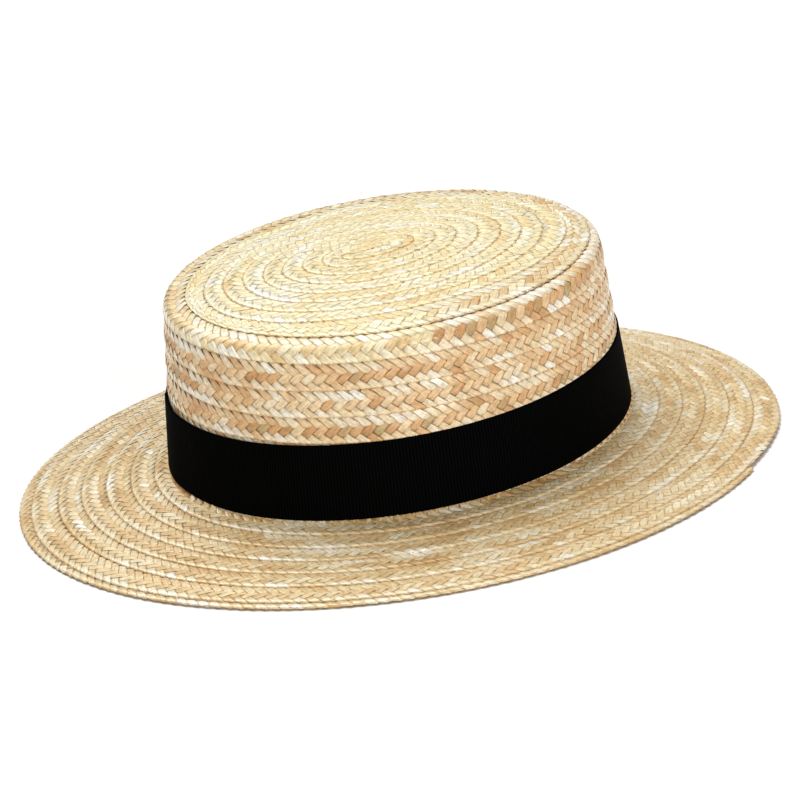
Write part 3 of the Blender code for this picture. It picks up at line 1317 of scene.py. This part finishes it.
@dataclass
class CrownStraw:
    """The crown: the tip's swirl, the row over the corner, and the side.

    One strip of braid makes it. Its rows are numbered by turns, and a seam is
    known where each crosses the middle of the near side.
    """

    form: HatForm
    first_turn: float = 0.02
    first_seam: float = 6.0
    tip_pitch: float = 7.11
    tip_rows: int = 8
    corner_pitch: float = 14.2
    side_pitch: float = 11.43
    side_rows: int = 7
    foot_margin: float = 0.1
    ribbon_covers: tuple[float, float] = (123.0, 149.5)
    # Painted light: the tip's palette is paler than the side's, as the tip faces the top light.
    tip_tones: StrawTones = StrawTones(
        stops=("#FFFBEC", "#FEF4D0", "#FCECBC", "#F8E0A8", "#F1D296", "#E6C182", "#DECB98"),
        mean=0.28, spread=0.08, group_spread=0.12, skin_shift=-0.02, pith_shift=0.05,
        seam_shade_brown="#B5793C", seam_shade_depth=0.5, dive_shade_tint=(0.98, 0.94, 0.86),
    )
    # Painted shade: the corner row's palette lies between the tip's and the side's as it turns down.
    corner_tones: StrawTones = StrawTones(
        stops=("#FCF6E5", "#F8EDCD", "#F3E1B6", "#ECD09C", "#DFB87E", "#CDA066", "#C6AC79"),
        mean=0.34, spread=0.13, piece_spread=0.08, group_spread=0.1,
        skin_shift=-0.08, pith_shift=0.14,
    )
    side_tones: StrawTones = StrawTones(
        stops=("#FBF3E2", "#F6E6C8", "#F0D8AE", "#E9C594", "#DCAC74", "#C9955C", "#C2A470"),
        mean=0.43, spread=0.15, piece_spread=0.08, group_spread=0.12,
        skin_shift=-0.1, pith_shift=0.2,
    )
    tip_plait: Plait = Plait(
        ridge=0.09, hollow_sides=0.01, lap_rise=0.22, shingle=0.03, width_range=(1.08, 1.18)
    )
    corner_plait: Plait = Plait(ridge=0.3)

    def course(self) -> BraidCourse:
        """Lay out the rows.

        Returns:
            The course, whose last row is held at the crown's foot for one turn.
        """
        tip_turns = np.concatenate([[0.0], NEAR_SIDE_TURN + np.arange(self.tip_rows)])
        tip = self.first_seam + self.tip_pitch * tip_turns
        corner = self.form.corner_line
        side_top = corner + self.corner_pitch
        side = side_top + self.side_pitch * np.arange(self.side_rows)
        seams = np.concatenate([tip, [corner], side])
        seams = np.minimum(seams, self.form.crown_end - self.foot_margin)
        turns = NEAR_SIDE_TURN + np.arange(len(seams) - 1)
        turns = np.concatenate([[0.0], turns])
        return BraidCourse(self.form, turns, seams, self.first_turn, turns[-1] + 1)

    def build(self, straw: bpy.types.Material, core: bpy.types.Material) -> list[bpy.types.Object]:
        """Build the tip and the side, and dress them.

        Args:
            straw: The straws' finish.
            core: The core's finish.

        Returns:
            The pieces of the crown.
        """
        course = self.course()
        corner_start = NEAR_SIDE_TURN + self.tip_rows
        side_start = corner_start + 1
        tip = PlaitedStraw(
            course, self.tip_tones, "crown_tip", self.first_turn, corner_start, ("crown_tip",),
            "pale_straw_braid", plait=self.tip_plait,
        )
        corner = PlaitedStraw(
            course, self.corner_tones, "crown_corner", corner_start, side_start, ("crown_tip",),
            "pale_straw_braid", plait=self.corner_plait,
        )
        side = PlaitedStraw(
            course, self.side_tones, "crown_side", side_start, course.end, ("crown_side",),
            "straw_braid", hidden=self.ribbon_covers,
        )
        return [piece for stretch in (tip, corner, side) for piece in stretch.build(straw, core)]


@dataclass
class BrimStraw:
    """The brim, from under the ribbon out to the rim.

    Its rows are numbered on from the crown's last one. Its own last row is tucked
    more and more under the one before it, so that it shows as a narrow strip
    along the rim, until the braid's end.
    """

    form: HatForm
    crown_rows: int = 15
    pitch_before: float = 11.5
    foot_margin: float = 0.1
    under_crown: float = 1.0
    first_pitch: float = 11.2
    pitch: float = 10.4
    full_rows: int = 5
    split_row: float = 19.29
    last_row: tuple[tuple[float, float], ...] = (
        (0.5, 8.3), (0.78, 3.8), (1.03, 3.2), (1.1, 2.7), (1.135, 2.4), (1.185, 0.0), (2.135, 0.0),
    )
    tones: StrawTones = StrawTones(
        stops=("#FCF6E4", "#F5E7C6", "#EDD7AA", "#E5C792", "#DBB67E", "#CCA66C", "#C0AB7A"),
        mean=0.4, spread=0.09, group_spread=0.15, skin_shift=-0.04, pith_shift=0.05,
        seam_shade_brown="#9C6630", seam_shade_depth=0.6, dive_shade_tint=(0.95, 0.88, 0.75),
    )
    plait: Plait = Plait(ridge=0.17, hollow_sides=0.02, lap_rise=0.2, shingle=0.07)
    seed: int = SEED + 5

    def course(self) -> BraidCourse:
        """Lay out the rows.

        Returns:
            The course, from the crown's last row to the end at the rim. The last
            row's seams are given as turns on and distances short of the rim.
        """
        first = self.form.crown_end + self.first_pitch
        seams = first + self.pitch * np.arange(self.full_rows)
        turns = NEAR_SIDE_TURN + self.crown_rows + 1 + np.arange(self.full_rows)
        last = np.array(self.last_row)
        before = NEAR_SIDE_TURN + self.crown_rows + np.array([-1.0, 0.0])
        start_seams = self.form.crown_end - np.array([self.pitch_before, self.foot_margin])
        return BraidCourse(
            self.form,
            np.concatenate([before, turns, turns[-1] + last[:, 0]]),
            np.concatenate([start_seams, seams, self.form.rim - last[:, 1]]),
            before[1], turns[-1] + last[-1, 0],
        )

    def build(self, straw: bpy.types.Material, core: bpy.types.Material) -> list[bpy.types.Object]:
        """Build the inner and the outer rows, and dress them.

        Args:
            straw: The straws' finish.
            core: The core's finish.

        Returns:
            The pieces of the brim.
        """
        course = self.course()
        stretches = (
            ("brim_inner", course.start, self.split_row), ("brim_outer", self.split_row, course.end),
        )
        pieces = []
        for name, first_turn, last_turn in stretches:
            rows = PlaitedStraw(
                course, self.tones, name, first_turn, last_turn, ("brim",), "straw_braid",
                nearest=self.form.crown_end - self.under_crown, plait=self.plait, seed=self.seed,
            )
            pieces += rows.build(straw, core)
        return pieces


@dataclass
class RibbonBand:
    """The black grosgrain ribbon round the foot of the crown.

    It is one strip, whose beginning is lapped over its end at the back. The ribs
    run across it, and its edges are very slightly toothed by them.
    """

    form: HatForm
    width: float = 33.0
    over_brim: float = 0.8
    underside: float = 0.3
    thickness: float = 0.6
    rib_relief: float = 0.2
    tooth: float = 0.1
    tooth_from: float = 0.45
    edge_share: float = 0.03
    edge_lift: float = 0.15
    samples_per_rib: int = 5
    lap_angle: float = math.radians(12.0)
    lap_lift: float = 0.6
    seam_angle: float = math.radians(165.0)
    rows: tuple[float, ...] = (0.0, 0.015, 0.04, 0.25, 0.5, 0.75, 0.96, 0.985, 1.0)

    def angles(self) -> np.ndarray:
        """Divide the strip into whole ribs, and each rib into even steps.

        Returns:
            Angles along the strip, from its beginning to its lapped end.
        """
        perimeter = math.pi * (self.form.base_length + self.form.base_width) / 2
        turn = 2 * math.pi + self.lap_angle
        ribs = round(perimeter * turn / (2 * math.pi) / RIB_PITCH)
        start = self.seam_angle - self.lap_angle / 2
        return np.linspace(start, start + turn, ribs * self.samples_per_rib + 1)

    def lap(self, angle: np.ndarray) -> np.ndarray:
        """Lift of the strip: its beginning goes over its end, down a smooth ramp."""
        ramp = np.clip(2 - (angle - angle[0]) / self.lap_angle, 0.0, 1.0)
        return self.lap_lift * smooth_step(ramp)

    def rounding(self, share: np.ndarray) -> np.ndarray:
        """Rounding of the strip's edges: one across its face, a root down to none."""
        beyond = np.maximum(np.abs(2 * share - 1) - (1 - self.edge_share), 0.0)
        return np.sqrt(np.clip(1 - beyond / self.edge_share, 0.0, 1.0))

    def mesh(self) -> MeshParts:
        """Work out the strip.

        Its section goes down the outer face and up the inner one. The outer face
        rises with half a sine wave over each rib, and the edges step out with it.

        Returns:
            The strip's points, faces and UV map.
        """
        angle = self.angles()
        rib = np.abs(np.sin(math.pi * np.arange(len(angle)) / self.samples_per_rib))[:, None]
        base = self.underside + self.lap(angle)[:, None]
        bottom = self.form.crown_end - self.over_brim / math.cos(self.form.side_taper)
        share = np.array(self.rows)
        rounded = self.rounding(share)
        at_edge = np.abs(share - 0.5) > self.tooth_from
        tooth = self.tooth * np.sign(share - 0.5) * at_edge
        distance = bottom - self.width * (1 - share) + rib * tooth
        outer = base + self.thickness * (1 + rounded) / 2 + self.rib_relief * rib * rounded
        inner = base + self.edge_lift * (1 - rounded)
        distances = np.concatenate([distance, distance[:, ::-1]], axis=1)
        lifts = np.concatenate([outer, inner[:, ::-1]], axis=1)
        points = self.form.points(distances, angle[:, None], lifts)
        parts = MeshParts()
        parts.add_tube(self.form.to_frame(points))
        run = np.arange(len(angle)) * RIB_PITCH / self.samples_per_rib
        across = np.concatenate([share, share[::-1] + 1]) * self.width
        uv = np.stack(np.broadcast_arrays(run[:, None], across[None]), axis=-1)
        parts.uv.append(uv.reshape(-1, 2))
        return parts

    def build(self, grosgrain: bpy.types.Material) -> bpy.types.Object:
        """Build and dress the ribbon.

        Args:
            grosgrain: The ribbon's finish.

        Returns:
            The ribbon, riding on the hat in place of the CAD node.
        """
        ribbon = self.mesh().build("ribbon", grosgrain, "ribbon_mm")
        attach(ribbon, "root")
        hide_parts("ribbon_band")
        return ribbon


@dataclass
class Studio:
    """The floor, the lights and the camera."""

    form: HatForm
    camera_azimuth: float = math.radians(-26.58)
    camera_elevation: float = math.radians(24.74)
    camera_roll: float = math.radians(-5.45)
    camera_distance: float = 1736.23
    lens: float = 180.0
    sensor: float = 36.0
    shift: tuple[float, float] = (0.0032, 0.0318)
    floor_radius: float = 15.0
    floor_corners: int = 96
    sky_strength: float = 0.28
    top_strength: float = 2.9
    top_direction: tuple[float, float, float] = (-0.03, 0.45, 1.0)
    top_angle: float = math.radians(45.0)
    key_strength: float = 1.6
    key_direction: tuple[float, float, float] = (-0.05, -1.0, 0.22)
    key_angle: float = math.radians(12.0)

    def build_camera(self) -> None:
        """Place the camera as the photograph was taken.

        It is placed round the leaning crown: its back is the direction of the
        azimuth and the elevation, and right and up are turned by the roll.
        """
        a, e, r = self.camera_azimuth, self.camera_elevation, self.camera_roll
        back = Vector((math.sin(a) * math.cos(e), -math.cos(a) * math.cos(e), math.sin(e)))
        right = Vector((math.cos(a), math.sin(a), 0.0))
        up = back.cross(right)
        rolled_right = right * math.cos(r) + up * math.sin(r)
        rolled_up = up * math.cos(r) - right * math.sin(r)
        axes = Matrix((rolled_right, rolled_up, back)).transposed()
        data = bpy.data.cameras.new("camera")
        data.lens, data.sensor_width = self.lens, self.sensor
        data.shift_x, data.shift_y = self.shift
        camera = bpy.data.objects.new("camera", data)
        place = (self.form.turn @ (back * self.camera_distance) + self.form.origin) * METRE
        camera.matrix_world = Matrix.Translation(place) @ (self.form.turn @ axes).to_4x4()
        bpy.context.scene.collection.objects.link(camera)
        bpy.context.scene.camera = camera

    def build_floor(self, paper: bpy.types.Material) -> None:
        """Lay the floor: a flat round disc.

        Args:
            paper: The floor's finish.
        """
        count = self.floor_corners
        angle = np.linspace(0.0, 2 * math.pi, count, endpoint=False)
        ring = np.stack([np.cos(angle), np.sin(angle), np.zeros(count)], axis=-1)
        parts = MeshParts()
        parts.add_points(ring * self.floor_radius)
        parts.add_faces(np.arange(count)[None], True)
        floor = parts.build("studio_floor", paper)

    def add_light(
        self, name: str, toward: tuple[float, float, float], angle: float, strength: float
    ) -> None:
        """Hang a far soft light, which lights the hat and the floor alike.

        Args:
            name: The light's plain name.
            toward: The direction from the hat to the light.
            angle: How wide it looks from the hat.
            strength: Its strength in watts per square metre.
        """
        data = bpy.data.lights.new(name, "SUN")
        data.angle, data.energy = angle, strength
        light = bpy.data.objects.new(name, data)
        light.location = Vector(toward)
        light.rotation_euler = Vector(toward).to_track_quat("Z", "Y").to_euler()
        bpy.context.scene.collection.objects.link(light)

    def build_lights(self) -> None:
        """Hang the lights and set the pale surroundings."""
        world = bpy.data.worlds.new("studio_surroundings")
        world.use_nodes = True
        sky = world.node_tree.nodes["Background"]
        sky.inputs["Color"].default_value = linear_colour("#FFFFFF")
        sky.inputs["Strength"].default_value = self.sky_strength
        bpy.context.scene.world = world
        self.add_light("top_softbox", self.top_direction, self.top_angle, self.top_strength)
        self.add_light("key_softbox", self.key_direction, self.key_angle, self.key_strength)

    def build(self, paper: bpy.types.Material) -> None:
        """Set the stage.

        Args:
            paper: The floor's finish.
        """
        bpy.context.scene.view_settings.view_transform = "Standard"
        self.build_camera()
        self.build_floor(paper)
        self.build_lights()


def report(piece: bpy.types.Object) -> None:
    """Log a piece's name and size."""
    faces = len(piece.data.polygons)
    LOG.info("%s: %d points, %d faces", piece.name, len(piece.data.vertices), faces)


def main() -> None:
    """Build the studio and the hat, piece by piece, and report each piece."""
    logging.basicConfig(level=logging.INFO, format="%(name)s: %(message)s")
    form = HatForm()
    straw = SplitStrawFinish().material()
    core = StrawCoreFinish().material()
    Studio(form).build(StudioFloorFinish().material())
    pieces = CrownStraw(form).build(straw, core)
    pieces += BrimStraw(form).build(straw, core)
    pieces.append(RibbonBand(form).build(GrosgrainFinish().material()))
    for piece in pieces:
        report(piece)


if __name__ == "__main__":
    main()
